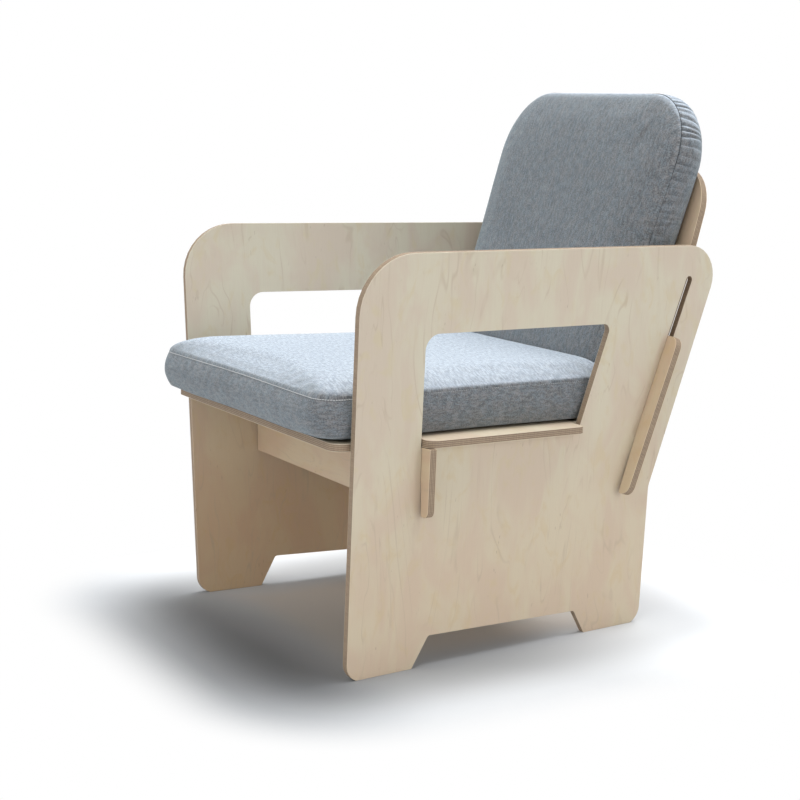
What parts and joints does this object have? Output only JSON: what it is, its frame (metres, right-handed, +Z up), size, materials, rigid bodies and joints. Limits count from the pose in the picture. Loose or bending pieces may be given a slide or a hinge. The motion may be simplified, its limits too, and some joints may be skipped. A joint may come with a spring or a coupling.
{
  "type": "lounge chair",
  "caption": "Lounge chair of interlocking plywood boards with closed side panels as arms and feet, and a loose cushion on the seat and on the back.",
  "frame": {"origin": "on the floor, under the middle of the chair's bounding box", "axes": "+Z up, -Y the way the sitter faces, +X the sitter's left"},
  "size_m": [0.6552, 0.7642, 0.8691],
  "materials": {
    "birch_plywood": "clear matt lacquer on sanded birch plywood",
    "chenille": "grey-blue melange chenille upholstery fabric",
    "fibre_wadding": "white polyester wadding",
    "cushion_foam": "open-cell polyurethane foam",
    "zip_tape": "woven tape with nylon teeth",
    "zip_metal": "grey lacquered die-cast zip slider"
  },
  "bodies": {
    "frame": {"left_side_panel": "birch_plywood", "right_side_panel": "birch_plywood", "front_rail": "birch_plywood"},
    "seat_board": {"seat_board": "birch_plywood"},
    "back_board": {"back_board": "birch_plywood"},
    "seat_cushion": {"seat_cover": "chenille", "seat_wadding": "fibre_wadding", "seat_foam": "cushion_foam", "seat_zip": "zip_tape"},
    "back_cushion": {"back_cover": "chenille", "back_wadding": "fibre_wadding", "back_foam": "cushion_foam", "back_zip": "zip_tape"},
    "seat_zip_slider": {"seat_zip_slider": "zip_metal"},
    "back_zip_slider": {"back_zip_slider": "zip_metal"}
  },
  "joints": [
    {"name": "seat_board_lift", "type": "slide", "parent": "frame", "child": "seat_board", "axis": [0, 0, 1], "range_m": [0, 0.14]},
    {"name": "back_board_lift", "type": "slide", "parent": "frame", "child": "back_board", "axis": [0, 0.3256, 0.9455], "range_m": [0, 0.095]},
    {"name": "seat_cushion_lift", "type": "slide", "parent": "seat_board", "child": "seat_cushion", "axis": [0, 0, 1], "range_m": [0, 0.12]},
    {"name": "back_cushion_lift", "type": "slide", "parent": "seat_cushion", "child": "back_cushion", "axis": [0, 0.3256, 0.9455], "range_m": [0, 0.2]},
    {"name": "seat_zip_pull", "type": "slide", "parent": "seat_cushion", "child": "seat_zip_slider", "axis": [1, 0, 0], "range_m": [0, 0.407]},
    {"name": "back_zip_pull", "type": "slide", "parent": "back_cushion", "child": "back_zip_slider", "axis": [1, 0, 0], "range_m": [0, 0.367]}
  ]
}
